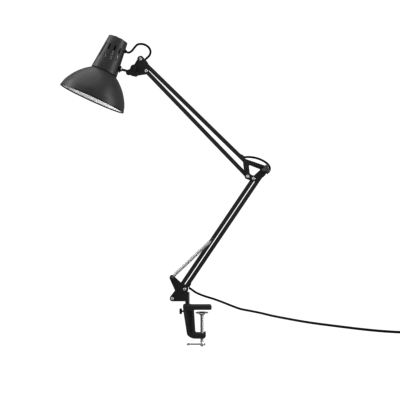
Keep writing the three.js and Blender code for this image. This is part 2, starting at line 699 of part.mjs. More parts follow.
// Flat two-pin plug, lying along +X.
function plug() {
  const [x, y, z] = [501, -307.4, 6.9];
  const side = [[0, 4], [14, 5], [22, 11], [32, 17.6], [40, 17.6]];
  const otherSide = side.map(([px, py]) => [px, -py]).reverse();
  const thickness = 13.6;
  const blank = new THREE.ExtrudeGeometry(
    outline(side, otherSide), { depth: thickness, bevelEnabled: false },
  );
  const body = blank.translate(x, y, z - thickness / 2);
  const pitch = 18.6;
  const pinRadius = 2;
  const holes = [-1, 1].map((side) =>
    rod(pinRadius + GAP, 0, 20, 12).rotateY(Math.PI / 2).translate(x + 32, y + (side * pitch) / 2, z));
  const pins = [-1, 1].map((side, i) => {
    const profile = [[0, 0], [pinRadius, 0], [pinRadius, 24.5], [1.2, 26.5], [0, 26.5]];
    const blankPin = turned(profile, 14).rotateY(Math.PI / 2);
    return part(`plug_pin_${i + 1}`, blankPin.translate(x + 32 + GAP, y + (side * pitch) / 2, z), zinc);
  });
  return [part('plug_body', cut(body, ...holes), blackPlastic), ...pins];
}

// ---------------------------------------------------------------- assembly
const clamp = group(clampFrame(), thumbScrew(), clampPad(), clampScrew(), tommyBar());

const base = group(
  swivelPost(),
  basePlate('base_plate_front', -1),
  basePlate('base_plate_rear', 1),
  rivet('base_rivet_left', BASE_LEFT),
  rivet('base_rivet_right', BASE_RIGHT),
  springPin('spring_arm_pin', SPRING_PIN),
  spring('spring_front', -SPRING_Y),
  spring('spring_rear', SPRING_Y),
);

const elbow = group(
  elbowPlate('elbow_plate_front', -OUTER_Y, -INNER_Y),
  elbowPlate('elbow_plate_rear', INNER_Y, OUTER_Y),
  rivet('elbow_rivet_lower', ELBOW_LEFT),
  rivet('elbow_rivet_upper', ARM_INNER),
  flushPin('elbow_pin_top', ARM_OUTER),
  jointBolt('elbow_bolt', ELBOW_RIGHT),
  lobedKnob('elbow_knob', ELBOW_RIGHT, 11.3, 9, greyPlastic),
  cord('elbow_loop_cord', ELBOW_LOOP, 20, 2.2),
);

const head = group(
  headPlate('head_plate_front', -OUTER_Y, -INNER_Y),
  headPlate('head_plate_rear', INNER_Y, OUTER_Y),
  rivet('head_rivet_top', HEAD_TOP),
  shortRivet('head_rivet_bottom_front', HEAD_BOTTOM, -1),
  shortRivet('head_rivet_bottom_rear', HEAD_BOTTOM, 1),
  jointBolt('knuckle_bolt', KNUCKLE),
  lobedKnob('head_knob', KNUCKLE, 16.5, 10, blackPlastic),
  cord('head_loop_cord', HEAD_LOOP, 24, 2.2),
);

const mains = group(
  cord('mains_cord', MAINS_ROUTE, 48), coil(), coilTie(), cord('mains_tail', TAIL_ROUTE, 5), ...plug(),
);

export default group(clamp, base, ...lowerRods(), elbow, ...upperRods(), head, shade(), mains);
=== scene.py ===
# An architect desk lamp: its looks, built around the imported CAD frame.
# The frame is in metres. Sizes in this file are in millimetres and go through MM.
import json
import math

import bmesh
import bpy
from mathutils import Matrix, Vector


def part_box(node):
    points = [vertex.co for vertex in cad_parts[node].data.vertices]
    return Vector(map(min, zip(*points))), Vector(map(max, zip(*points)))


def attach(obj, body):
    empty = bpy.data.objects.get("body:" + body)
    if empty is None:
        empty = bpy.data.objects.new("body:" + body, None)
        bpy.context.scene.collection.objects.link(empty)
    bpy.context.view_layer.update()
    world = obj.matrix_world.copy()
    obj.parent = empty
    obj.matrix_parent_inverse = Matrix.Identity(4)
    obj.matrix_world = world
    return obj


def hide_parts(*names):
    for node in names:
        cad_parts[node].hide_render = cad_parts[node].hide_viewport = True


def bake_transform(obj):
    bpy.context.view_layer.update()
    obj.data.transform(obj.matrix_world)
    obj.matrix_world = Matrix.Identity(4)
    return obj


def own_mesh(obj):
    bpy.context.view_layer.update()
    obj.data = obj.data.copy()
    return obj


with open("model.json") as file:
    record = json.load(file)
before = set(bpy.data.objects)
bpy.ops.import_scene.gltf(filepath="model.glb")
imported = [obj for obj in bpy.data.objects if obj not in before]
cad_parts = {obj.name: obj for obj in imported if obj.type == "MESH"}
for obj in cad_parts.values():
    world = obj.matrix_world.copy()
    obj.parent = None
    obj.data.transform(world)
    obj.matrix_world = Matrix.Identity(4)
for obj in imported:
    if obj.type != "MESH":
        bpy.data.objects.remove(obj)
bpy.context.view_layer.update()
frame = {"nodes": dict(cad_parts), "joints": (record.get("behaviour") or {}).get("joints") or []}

MM = 0.001
X, Y, Z = Vector((1, 0, 0)), Vector((0, 1, 0)), Vector((0, 0, 1))

# ---------------------------------------------------------------- driving sizes, in mm
GAP = 0.3
TUBE = 9.5  # outside of the square arm tube
WALL = 1.0
TUBE_END = 5.5  # how far a tube runs past its pivot
PLATE = 1.8
INNER_Y = TUBE / 2 + GAP  # inner face of every bracket plate
OUTER_Y = INNER_Y + PLATE
PIVOT = 2.5  # rivet shank radius
BOLT = 3.0
CORD = 5.0
LOOP_CORD = 5.0
SPRING_Y = 15.0  # each spring's distance from the middle plane
SPRING_PIN_RADIUS = 2
COIL_MEAN = 30.0
COIL_CENTRE = Vector((459, -345, 0))
COIL_BASE = 1.4
SHEET = 1.0


# ---------------------------------------------------------------- places, from the frame
JOINTS = {joint["name"]: joint for joint in frame["joints"]}


def pivot(joint):
    return Vector(JOINTS[joint]["pos_m"])


def centre(node):
    low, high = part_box(node)
    return (low + high) / 2


def in_plane(point):
    return Vector((point.x, 0, point.z))


BASE_LEFT, BASE_RIGHT = pivot("lower_arm_left"), pivot("lower_arm")
ELBOW_LEFT, ELBOW_RIGHT = in_plane(centre("elbow_rivet_lower")), pivot("elbow_level")
ARM_OUTER, ARM_INNER = pivot("upper_arm"), pivot("upper_arm_inner")
HEAD_TOP, KNUCKLE = pivot("head_level"), pivot("head_tilt")
HEAD_BOTTOM = in_plane(centre("head_rivet_bottom_front"))
ANCHOR, SPRING_PIN = pivot("spring_swing"), in_plane(centre("spring_arm_pin"))
ROCKER = pivot("rocker_tip")


def axes(origin, z, y=Y):
    """Placement at origin whose Z runs along z and whose Y stays near y."""
    z = z.normalized()
    x = y.cross(z).normalized()
    turn = Matrix((x, z.cross(x), z)).transposed()
    return Matrix.Translation(origin) @ turn.to_4x4()


def across(place):
    """Placement for turned pieces on a pivot: their Z points out of the lamp's front."""
    return axes(place, -Y, Z)


ROCKER_HEIGHT = 163.6  # of the rocker's pivot above the rim, along the shade's axis
SHADE_AXIS = (ROCKER - centre("lampholder_shell")).normalized()
SHADE = axes(ROCKER - SHADE_AXIS * ROCKER_HEIGHT * MM, SHADE_AXIS)
STEM = axes(KNUCKLE, Vector(JOINTS["head_swivel"]["axis"]))
HUB = centre("tommy_bar")


# ---------------------------------------------------------------- mesh tools
def lathe(profile, at=Matrix(), segments=64, closed=False, index=None, wave=None):
    """Revolve (radius, height) points about Z. A closed profile makes a ring.
    index gives each span's material, wave adds to each radius."""
    bm = bmesh.new()
    rings = []
    for r, z in profile:
        ring = []
        for i in range(segments if r > 0 else 1):
            turn = 2 * math.pi * i / segments
            reach = r + (wave(turn, r, z) if wave and r > 0 else 0)
            point = Vector((reach * math.cos(turn), reach * math.sin(turn), z))
            ring.append(bm.verts.new(at @ (point * MM)))
        rings.append(ring)
    spans = list(zip(rings, rings[1:]))
    if closed:
        spans.append((rings[-1], rings[0]))
    for k, (low, high) in enumerate(spans):
        for i in range(segments if len(low) + len(high) > 2 else 0):
            j = (i + 1) % segments
            corners = [low[i % len(low)], low[j % len(low)], high[j % len(high)], high[i % len(high)]]
            face = bm.faces.new(list(dict.fromkeys(corners)))
            face.material_index = index(k) if index else 0
    bmesh.ops.recalc_face_normals(bm, faces=bm.faces)
    return bm


def slab(outline, low, high, at=Matrix()):
    """Prism of an outline of (x, z) points between two depths along Y."""
    bm = bmesh.new()
    sides = [[bm.verts.new(at @ (Vector((x, y, z)) * MM)) for x, z in outline] for y in (low, high)]
    for side in sides:
        bm.faces.new(side)
    for i in range(len(outline)):
        j = (i + 1) % len(outline)
        bm.faces.new((sides[0][i], sides[0][j], sides[1][j], sides[1][i]))
    bmesh.ops.recalc_face_normals(bm, faces=bm.faces)
    return bm


def bar(corner_a, corner_b, at=Matrix()):
    """Box between two opposite corners."""
    (x0, y0, z0), (x1, y1, z1) = corner_a, corner_b
    return slab([(x0, z0), (x1, z0), (x1, z1), (x0, z1)], y0, y1, at)


def rod(radius, z0, z1, at=Matrix(), segments=32):
    return lathe([(0, z0), (radius, z0), (radius, z1), (0, z1)], at, segments)


def rounded(corners, steps=8):
    """Outline through corners given as (x, z, radius), each rounded by a curve."""
    points = []
    for i, (x, z, radius) in enumerate(corners):
        corner = Vector((x, z))
        before = Vector(corners[i - 1][:2]) - corner
        after = Vector(corners[(i + 1) % len(corners)][:2]) - corner
        start = corner + before.normalized() * radius
        end = corner + after.normalized() * radius
        for k in range(steps + 1 if radius else 1):
            t = k / steps
            point = start * (1 - t) ** 2 + corner * 2 * t * (1 - t) + end * t**2
            points.append(tuple(point))
    return points


def soften(bm, width, segments=2, angle=28):
    """Bevel every edge sharper than angle."""
    edges = [e for e in bm.edges if len(e.link_faces) == 2 and e.calc_face_angle(0) > math.radians(angle)]
    bmesh.ops.bevel(
        bm, geom=edges, offset=width * MM, segments=segments, profile=0.5, affect="EDGES", clamp_overlap=True
    )
    return bm


def merged(bm):
    """Join doubled corners and flat faces."""
    bmesh.ops.remove_doubles(bm, verts=bm.verts, dist=1e-6)
    bmesh.ops.dissolve_limit(bm, angle_limit=math.radians(1), verts=bm.verts, edges=bm.edges)
    return bm


def copied(node):
    """The frame's own solid as a mesh to work on."""
    bm = bmesh.new()
    bm.from_mesh(frame["nodes"][node].data)
    return merged(bm)


def temporary(bm):
    mesh = bpy.data.meshes.new("temporary")
    bm.to_mesh(mesh)
    bm.free()
    obj = bpy.data.objects.new("temporary", mesh)
    bpy.context.scene.collection.objects.link(obj)
    return obj


def boolean(bm, tools, operation="DIFFERENCE"):
    """Cut tools from bm, or join them to it."""
    target = temporary(bm)
    used = [temporary(tool) for tool in tools]
    for tool in used:
        modifier = target.modifiers.new("boolean", "BOOLEAN")
        modifier.operation = operation
        modifier.solver = "EXACT"
        modifier.object = tool
    graph = bpy.context.evaluated_depsgraph_get()
    mesh = bpy.data.meshes.new_from_object(target.evaluated_get(graph))
    out = bmesh.new()
    out.from_mesh(mesh)
    for obj in [target, *used]:
        bpy.data.objects.remove(obj)
    return out


def sweep(points, radius, sides=12):
    """Round tube along points, with flat ends."""
    bm = bmesh.new()
    rings = []
    normal = None
    for i, point in enumerate(points):
        heading = (points[min(i + 1, len(points) - 1)] - points[max(i - 1, 0)]).normalized()
        normal = heading.orthogonal() if normal is None else normal
        normal = (normal - heading * normal.dot(heading)).normalized()
        other = heading.cross(normal)
        ring = []
        for k in range(sides):
            turn = 2 * math.pi * k / sides
            out = normal * math.cos(turn) + other * math.sin(turn)
            ring.append(bm.verts.new(point + out * radius))
        rings.append(ring)
    for low, high in zip(rings, rings[1:]):
        for i in range(sides):
            j = (i + 1) % sides
            bm.faces.new((low[i], low[j], high[j], high[i]))
    bm.faces.new(rings[0])
    bm.faces.new(rings[-1])
    bmesh.ops.recalc_face_normals(bm, faces=bm.faces)
    return bm


def smooth(points, steps=6):
    """Centripetal Catmull-Rom curve through points."""
    padded = [2 * points[0] - points[1], *points, 2 * points[-1] - points[-2]]
    out = []
    for a, b, c, d in zip(padded, padded[1:], padded[2:], padded[3:]):
        knots = [0.0]
        for p, q in ((a, b), (b, c), (c, d)):
            knots.append(knots[-1] + math.sqrt((q - p).length))
        for k in range(steps):
            s = knots[1] + (knots[2] - knots[1]) * k / steps

            def between(p, q, i, j):
                return p.lerp(q, (s - knots[i]) / (knots[j] - knots[i]))

            ab, bc, cd = between(a, b, 0, 1), between(b, c, 1, 2), between(c, d, 2, 3)
            out.append(between(between(ab, bc, 0, 2), between(bc, cd, 1, 3), 1, 2))
    out.append(points[-1].copy())
    return out


def place(*values):
    return Vector(values) * MM


# ---------------------------------------------------------------- materials
def new_material(name):
    material = bpy.data.materials.new(name)
    material.use_nodes = True
    nodes = material.node_tree.nodes
    return material, nodes, material.node_tree.links, nodes["Principled BSDF"]


def noise(nodes, links, scale, detail=3, stretch=(1, 1, 1)):
    """Noise on the object's own coordinates: scale is cycles a metre."""
    coordinates = nodes.new("ShaderNodeTexCoord")
    mapping = nodes.new("ShaderNodeMapping")
    mapping.inputs["Scale"].default_value = stretch
    texture = nodes.new("ShaderNodeTexNoise")
    texture.inputs["Scale"].default_value = scale
    texture.inputs["Detail"].default_value = detail
    links.new(coordinates.outputs["Object"], mapping.inputs["Vector"])
    links.new(mapping.outputs["Vector"], texture.inputs["Vector"])
    return texture.outputs["Fac"]


def spread(nodes, links, source, low, high):
    """Stretch a 0.3 to 0.7 noise over low to high."""
    node = nodes.new("ShaderNodeMapRange")
    node.inputs["From Min"].default_value = 0.3
    node.inputs["From Max"].default_value = 0.7
    node.inputs["To Min"].default_value = low
    node.inputs["To Max"].default_value = high
    links.new(source, node.inputs["Value"])
    return node.outputs["Result"]


def grey(value):
    return (value, value, value * 1.02, 1)


def finish(name, dark, light, rough, metallic=0.0, grain=900, bump=0.05, depth=0.1, stretch=(1, 1, 1),
           wear=None, specular=0.5, coat=0.0):
    """A surface with cloudy colour, uneven gloss, fine grain and, with wear, paler worn edges."""
    material, nodes, links, shader = new_material(name)
    mix = nodes.new("ShaderNodeMix")
    mix.data_type = "RGBA"
    mix.inputs["A"].default_value = dark
    mix.inputs["B"].default_value = light
    links.new(noise(nodes, links, 38, 5, stretch), mix.inputs["Factor"])
    colour = mix.outputs["Result"]
    if wear:
        edge = nodes.new("ShaderNodeMapRange")
        edge.inputs["From Min"].default_value = 0.53
        edge.inputs["From Max"].default_value = 0.62
        edge.inputs["To Max"].default_value = 0.6
        geometry = nodes.new("ShaderNodeNewGeometry")
        links.new(geometry.outputs["Pointiness"], edge.inputs["Value"])
        worn = nodes.new("ShaderNodeMix")
        worn.data_type = "RGBA"
        worn.inputs["B"].default_value = wear
        links.new(edge.outputs["Result"], worn.inputs["Factor"])
        links.new(colour, worn.inputs["A"])
        colour = worn.outputs["Result"]
    links.new(colour, shader.inputs["Base Color"])
    gloss = spread(nodes, links, noise(nodes, links, 120, 4, stretch), rough[0], rough[1])
    links.new(gloss, shader.inputs["Roughness"])
    relief = nodes.new("ShaderNodeBump")
    relief.inputs["Strength"].default_value = bump
    relief.inputs["Distance"].default_value = depth * MM
    links.new(noise(nodes, links, grain, 2, stretch), relief.inputs["Height"])
    links.new(relief.outputs["Normal"], shader.inputs["Normal"])
    shader.inputs["Metallic"].default_value = metallic
    shader.inputs["Specular IOR Level"].default_value = specular
    shader.inputs["Coat Weight"].default_value = coat
    return material


def make_finishes():
    worn = grey(0.09)
    return {
        "black_enamel": finish(
            "satin_black_enamel", grey(0.034), grey(0.042), (0.3, 0.4), grain=1400, bump=0.12, wear=worn,
            specular=0.35),
        "cast_black": finish(
            "cast_black_enamel", grey(0.045), grey(0.055), (0.42, 0.56), grain=900, bump=0.35, depth=0.25,
            wear=worn, specular=0.3),
        "shade_enamel": finish(
            "charcoal_enamel", grey(0.05), grey(0.058), (0.36, 0.46), grain=1600, bump=0.1, wear=worn,
            specular=0.45),
        "zinc_plate": finish(
            "bright_zinc", grey(0.64), grey(0.76), (0.3, 0.44), metallic=1, grain=1500, bump=0.08),
        "spring_steel": finish(
            "spring_wire", grey(0.55), grey(0.66), (0.4, 0.52), metallic=1, grain=2200, bump=0.1),
        "pin_brass": finish(
            "plain_brass", (0.5, 0.33, 0.12, 1), (0.62, 0.43, 0.18, 1), (0.25, 0.4), metallic=1, bump=0.08),
        "holder_ceramic": finish(
            "glazed_ceramic", (0.72, 0.7, 0.65, 1), (0.8, 0.78, 0.73, 1), (0.14, 0.22), grain=300, coat=0.4),
        "grey_plastic": finish(
            "grey_moulding", grey(0.11), grey(0.135), (0.4, 0.5), grain=2400, bump=0.3, specular=0.4),
        "black_plastic": finish(
            "black_moulding", grey(0.022), grey(0.03), (0.4, 0.5), grain=2400, bump=0.25, specular=0.3),
        "cord_vinyl": finish(
            "black_vinyl", grey(0.005), grey(0.008), (0.4, 0.5), grain=500, bump=0.15, specular=0.15),
    }


FINISH = make_finishes()
WHITE_ENAMEL = finish("white_enamel", grey(0.78), grey(0.82), (0.3, 0.42), grain=1200, bump=0.06)
BLACK_BEAD = finish("black_bead", grey(0.01), grey(0.014), (0.3, 0.4), grain=1200, bump=0.08)


# ---------------------------------------------------------------- pieces
def shaded(name, bm, slot, *extra, angle=35):
    """An object of one mesh, smooth but for edges sharper than angle, with its slot's finish."""
    for face in bm.faces:
        face.smooth = True
    for edge in bm.edges:
        edge.smooth = len(edge.link_faces) == 2 and edge.calc_face_angle(0) < math.radians(angle)
    mesh = bpy.data.meshes.new(name)
    bm.to_mesh(mesh)
    bm.free()
    for material in (FINISH[slot], *extra):
        mesh.materials.append(material)
    obj = bpy.data.objects.new(name, mesh)
    bpy.context.scene.collection.objects.link(obj)
    return obj


def add(name, bm, slot, body, *nodes, extra=(), angle=35):
    """A finished piece that rides on body and stands for CAD nodes."""
    obj = shaded(name, bm, slot, *extra, angle=angle)
    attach(obj, body)
    if nodes:
        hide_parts(*nodes)
    return obj


def refined(node, width, slot, body, segments=2):
    """The CAD solid with its edges rounded."""
    bm = soften(copied(node), width, segments)
    return add(node + "_piece", bm, slot, body, node)


# ---------------------------------------------------------------- camera
def make_camera():
    """Level camera square to the lamp, at the height of the lower arms."""
    data = bpy.data.cameras.new("camera")
    data.lens = 61.2
    data.sensor_width = 36
    camera = bpy.data.objects.new("camera", data)
    camera.location = (-0.005, -1.7, 0.2725)
    camera.rotation_euler = (math.radians(90), 0, 0)
    bpy.context.scene.collection.objects.link(camera)
    bpy.context.scene.camera = camera


# ---------------------------------------------------------------- cords
# From the lower rod's base sleeve, over the desk, to the coil.
MAINS_ROUTE = [
    (-32, -0.6, 53), (-24, -2, 47.6), (-14.2, -4, 41.3), (6, -8.6, 33.6), (29.7, -14, 27), (51, -20, 20),
    (72, -27, 12.6), (94, -35, 5.8), (118.4, -46, 2.6), (140, -76, 2.6), (164.4, -116, 2.6), (193, -153, 2.6),
    (222, -187.6, 2.6), (249, -214, 2.6), (277.5, -237, 2.6), (304, -258, 2.6), (331, -277.8, 2.6),
    (357, -294, 2.6), (384, -306, 2.6), (406, -313, 2.8), (428, -316, 3.6),
]
TAIL_ROUTE = [(470, -305.8, 8.2), (480, -306.6, 7.5), (490, -307.2, 7.1), (500.5, -307.4, 6.9)]


def coil_route():
    """Six turns, three side by side and three on them. Each turn changes lane in its last sixth."""
    outer, mean, inner = COIL_MEAN + CORD, COIL_MEAN, COIL_MEAN - CORD
    low = COIL_BASE + CORD / 2
    high = low + CORD
    lanes = [
        (outer, low), (mean, low), (inner, low),
        (inner, high), (mean, high), (outer, high), (outer + CORD, high),
    ]
    first, steps, crossing = 102.4, 24, 1 / 6
    points = []
    for turn, (here, after) in enumerate(zip(lanes, lanes[1:])):
        for k in range(steps):
            t = min(max((k / steps - (1 - crossing)) / crossing, 0), 1)
            ease = t * t * (3 - 2 * t)
            radius = here[0] + (after[0] - here[0]) * ease
            height = here[1] + (after[1] - here[1]) * ease
            if after[1] > here[1]:
                radius -= CORD / 2 * math.sin(math.pi * ease)
            angle = math.radians(first - 360 * (turn + k / steps))
            points.append(COIL_CENTRE + Vector((radius * math.cos(angle), radius * math.sin(angle), height)))
    for angle in (first, 93, 85):
        reach = outer + CORD
        turned = Vector((math.cos(math.radians(angle)), math.sin(math.radians(angle)), 0))
        points.append(COIL_CENTRE + turned * reach + Z * (high - (first - angle) * 0.012))
    return points


def make_mains_cord():
    """The lead as two tubes, neither attached to a body: a short start at the arm's base sleeve, and the free
    cord with its coil, which runs on to the plug.
    """
    controls = [Vector(p) for p in MAINS_ROUTE] + coil_route() + [Vector(p) for p in TAIL_ROUTE]
    steps = 4
    route = smooth([p * MM for p in controls], steps)
    split = 2 * steps
    start, free = route[: split + 1], route[split:]
    lead = shaded("mains_lead_start", sweep(start, CORD / 2 * MM, 16), "cord_vinyl")
    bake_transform(lead)
    cord = shaded("mains_lead", sweep(free, CORD / 2 * MM, 16), "cord_vinyl")
    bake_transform(cord)
    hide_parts("mains_cord", "mains_coil", "mains_tail")
    return cord, free


def make_loop(name, points, spans, node):
    """A cord loop, as one tube for each joint that it crosses."""
    route = smooth([place(x, 0, z) for x, z in points], 8)
    for i, (begin, end, body_a, body_b) in enumerate(spans):
        run = route[begin * 8: end * 8 + 1]
        piece = shaded(f"{name}_{i + 1}", sweep(run, LOOP_CORD / 2 * MM, 14), "cord_vinyl")
        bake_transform(piece)
        if i == 0:
            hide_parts(node)


def make_loops():
    head = [
        (-188.2, 641.8), (-182.6, 641.2), (-176, 644.8), (-167.6, 655), (-161.6, 660.8), (-153.6, 662.6),
        (-142.6, 660.6), (-133, 653.6), (-128.7, 644), (-131, 634.6), (-136.6, 628.4), (-142, 623.9),
    ]
    make_loop("head_loop", head, [
        (0, 3, "shade", "stem"), (3, 6, "stem", "head_bracket"), (6, 11, "head_bracket", "upper_outer_arm"),
    ], "head_loop_cord")
    elbow = [
        (105.9, 379.2), (112, 380), (121, 379.8), (133, 378), (147, 373.4), (159, 366.6), (166.8, 359.2),
        (169.6, 351.4), (167.6, 344), (161.4, 338.6),
    ]
    make_loop("elbow_loop", elbow, [
        (0, 4, "upper_outer_arm", "elbow"), (4, 9, "elbow", "lower_right_arm"),
    ], "elbow_loop_cord")


def make_plug():
    body = refined("plug_body", 2.2, "black_plastic", "clamp", 3)
    pieces = [body]
    for i in (1, 2):
        node = f"plug_pin_{i}"
        low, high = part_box(node)
        reach = (high.x - low.x) / MM
        at = axes(Vector((low.x, centre(node).y, centre(node).z)), X)
        profile = [(0, 0), (2, 0), (2, reach - 2.4), (1.6, reach - 1), (0.9, reach - 0.2), (0, reach)]
        pieces.append(add(node + "_piece", lathe(profile, at, 32), "pin_brass", "clamp", node))
    pieces.append(refined("coil_tie", 1.2, "black_plastic", "clamp"))
    return pieces


make_camera()
mains_cord, mains_path = make_mains_cord()
on_cord = make_plug()
make_loops()


# ---------------------------------------------------------------- clamp
JAW, JAW_WIDTH, OPENING, POST_X, POST_RADIUS, SCREW_RADIUS = 10, 28, 60.4, -36.4, 5.25, 4


def make_clamp():
    profile = rounded([
        (-47.4, JAW, 2), (-46.2, -3.9, 4), (-36.9, -62.5, 4), (-25, -71.3, 8), (5, -71.3, 3),
        (9.4, -67, 3), (9.4, -58.5, 1.5), (5.4, -58.5, 1), (5.2, -OPENING, 0.5),
        (-16.6, -OPENING, 4), (-20.4, 0, 2.5), (22.8, 0, 1.6), (24.5, 4, 2.4), (22.8, JAW, 3),
    ])
    half = JAW_WIDTH / 2
    post = Matrix.Translation(place(POST_X, 0, 0))
    collar = lathe([
        (0, 1), (10, 1), (10, JAW), (9.5, JAW + 1.4), (8.8, JAW + 2.2), (8, JAW + 2.4), (0, JAW + 2.4),
    ], post)
    body = boolean(slab(profile, -half, half), [collar], "UNION")
    pocket = rounded([(-37, -3, 2), (-29.5, -57, 3), (-22.5, -53, 3), (-25, -3, 2)])
    depth = 3
    tools = [
        rod(POST_RADIUS + GAP, -14, 30, post), rod(SCREW_RADIUS + GAP, -90, -50),
        slab(pocket, -half - 1, -half + depth), slab(pocket, half - depth, half + 1),
        rod(2 + GAP, 0, 30, axes(place(POST_X, 0, -5.5), -X)),
    ]
    tip = 7
    for side in (-1, 1):
        block = bar((24.6 - tip, min(0, side * 20), -1), (30, max(0, side * 20), 12))
        at = Matrix.Translation(place(24.6 - tip, side * (half - tip), 0))
        inner = bar((10, min(0, side * (half - tip)), -2), (31, max(0, side * (half - tip)), 13))
        tools.append(boolean(block, [rod(tip, -2, 13, at, 64), inner]))
    body = merged(boolean(body, tools))
    add("clamp_casting", soften(body, 0.9, 3, 30), "cast_black", "clamp", "clamp_frame")


def make_thumb_screw():
    def knurl(turn, r, z):
        return 0.28 * math.cos(28 * turn) if r > 6 else 0

    profile = [
        (0, -56.2), (4.6, -56.2), (5.6, -55.9), (6.8, -54.9), (6.8, -51.4), (5.6, -50.4), (4.6, -50.2),
        (2.6, -50.2), (2, -49.8), (2, POST_X - POST_RADIUS - GAP), (0, POST_X - POST_RADIUS - GAP),
    ]
    at = axes(place(0, 0, -5.5), X)
    add("thumb_screw_piece", lathe(profile, at, 168, wave=knurl), "black_plastic", "post_lock", "thumb_screw")


def make_pad():
    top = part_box("clamp_pad")[1].z / MM
    rim = [
        (0, -7.2), (4.9, -7.2), (5.4, -6.8), (8.6, -1.9), (9.4, -1.6), (15.4, -1.4), (16, -1), (16, -0.5),
        (15.5, 0), (8.6, 0), (7.9, -0.3), (4.6, -5.4), (4, -5.8), (0, -5.8),
    ]
    at = Matrix.Translation(place(0, 0, top))
    add("pad_piece", lathe(rim, at, 96), "zinc_plate", "pad", "clamp_pad")
    insert = [(0, -5.7), (4, -5.7), (4.4, -5.4), (7.4, -0.9), (7.4, -0.5), (0, -1.4)]
    add("pad_insert", lathe(insert, at, 64), "black_plastic", "pad")


def make_screw():
    """Threaded shank with a 60 degree M8 form, a plain nose and a drilled hub."""
    pitch, depth, segments = 1.25, 0.68, 32
    hub = HUB.z / MM
    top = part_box("clamp_screw")[1].z / MM
    start, stop = hub + 5.4, top - 3

    def thread(turn, r, z):
        if not start < z < stop:
            return 0
        phase = (z / pitch - turn / (2 * math.pi)) % 1
        fade = min((z - start) / pitch, (stop - z) / pitch, 1)
        return -depth * fade * max(0, 1 - abs(phase - 0.5) * 2.6)

    rows = int((stop - start) / pitch * 8)
    threaded = [(SCREW_RADIUS, start + (stop - start) * i / rows) for i in range(rows + 1)]
    profile = [
        (0, hub - 5.5), (1.8, hub - 5.5), (2.6, hub - 5), (4.4, hub - 3.2), (4.6, hub - 2.6),
        (4.6, hub + 3.2), (4.3, hub + 4.2), *threaded,
        (SCREW_RADIUS, stop + 1), (3.2, top - 0.4), (2.5, top), (0, top),
    ]
    bm = lathe(profile, Matrix(), segments, wave=thread)
    hole = rod(1.7 + GAP, -10, 10, axes(place(0, 0, hub), X))
    add("screw_piece", boolean(bm, [hole]), "zinc_plate", "screw", "clamp_screw", angle=50)


def make_tommy_bar():
    low, high = (corner.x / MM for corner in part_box("tommy_bar"))
    swell = 3
    profile = [
        (0, low), (1.6, low + 0.2), (2.5, low + 0.9), (swell, low + 2.2), (swell, low + 3.6),
        (2.5, low + 5.4), (1.9, low + 6.8), (1.7, low + 8), (1.7, high - 3.2), (2.2, high - 2.8),
        (swell, high - 2.2),
        (swell, high - 0.9), (2.3, high - 0.2), (0, high),
    ]
    at = axes(Vector((0, HUB.y, HUB.z)), X)
    add("tommy_bar_piece", lathe(profile, at, 48), "zinc_plate", "screw_bar", "tommy_bar")


make_clamp()
make_thumb_screw()
make_pad()
make_screw()
make_tommy_bar()


# ---------------------------------------------------------------- rivets, pins, bolts and knobs
def rivet_head(head=4.2):
    """Domed head with a rolled dimple, from its middle out to the shank."""
    grip = OUTER_Y + GAP
    return [
        (0, grip + 0.5), (1.1, grip + 0.6), (1.5, grip + 1.3), (1.9, grip + 1.62), (2.3, grip + 1.7),
        (3.1, grip + 1.5), (3.9, grip + 0.95), (head, grip + 0.4), (head, grip), (PIVOT, grip),
    ]


def make_rivets():
    through = {
        "base_rivet_left": "base_bracket", "base_rivet_right": "base_bracket", "elbow_rivet_lower": "elbow",
        "elbow_rivet_upper": "elbow", "head_rivet_top": "head_bracket",
    }
    front = rivet_head()
    back = [(r, -z) for r, z in reversed(front)]
    for node, body in through.items():
        bm = lathe(front + back, across(in_plane(centre(node))), 48)
        add(node + "_piece", bm, "zinc_plate", body, node)
    for side, facing in (("front", -Y), ("rear", Y)):
        node = f"head_rivet_bottom_{side}"
        bm = lathe([*front, (PIVOT, INNER_Y), (0, INNER_Y)], axes(HEAD_BOTTOM, facing, Z), 48)
        add(node + "_piece", bm, "zinc_plate", "head_bracket", node)


def make_pins():
    end = SPRING_Y + 4
    half = [(0, end), (2.8, end), (3.4, end - 0.5), (3.4, end - 1.3), (3.1, end - 1.6), (2, end - 1.6)]
    profile = half + [(r, -z) for r, z in reversed(half)]
    bm = lathe(profile, across(SPRING_PIN), 40)
    add("spring_arm_pin_piece", bm, "black_enamel", "lower_left_arm", "spring_arm_pin")
    stud = half + [(2, OUTER_Y + 2), (2.3, OUTER_Y + 1.62), (3.2, OUTER_Y + 1.62), (3.45, OUTER_Y + 1.3)]
    stud += [(3.45, OUTER_Y), (0, OUTER_Y - 0.4)]
    stud = [(r + 0.04, z + 0.03) if r else (0, z) for r, z in stud]
    for side, facing in (("front", -Y), ("rear", Y)):
        bm = lathe(stud, axes(ANCHOR, facing, Z), 40)
        add(f"spring_stud_{side}", bm, "black_enamel", "base_bracket")
    end = OUTER_Y + 0.5
    profile = [(0, end), (2, end), (PIVOT, end - 0.4), (PIVOT, 0.4 - end), (2, -end), (0, -end)]
    bm = lathe(profile, across(ARM_OUTER), 40)
    add("elbow_pin_top_piece", bm, "black_enamel", "elbow", "elbow_pin_top")


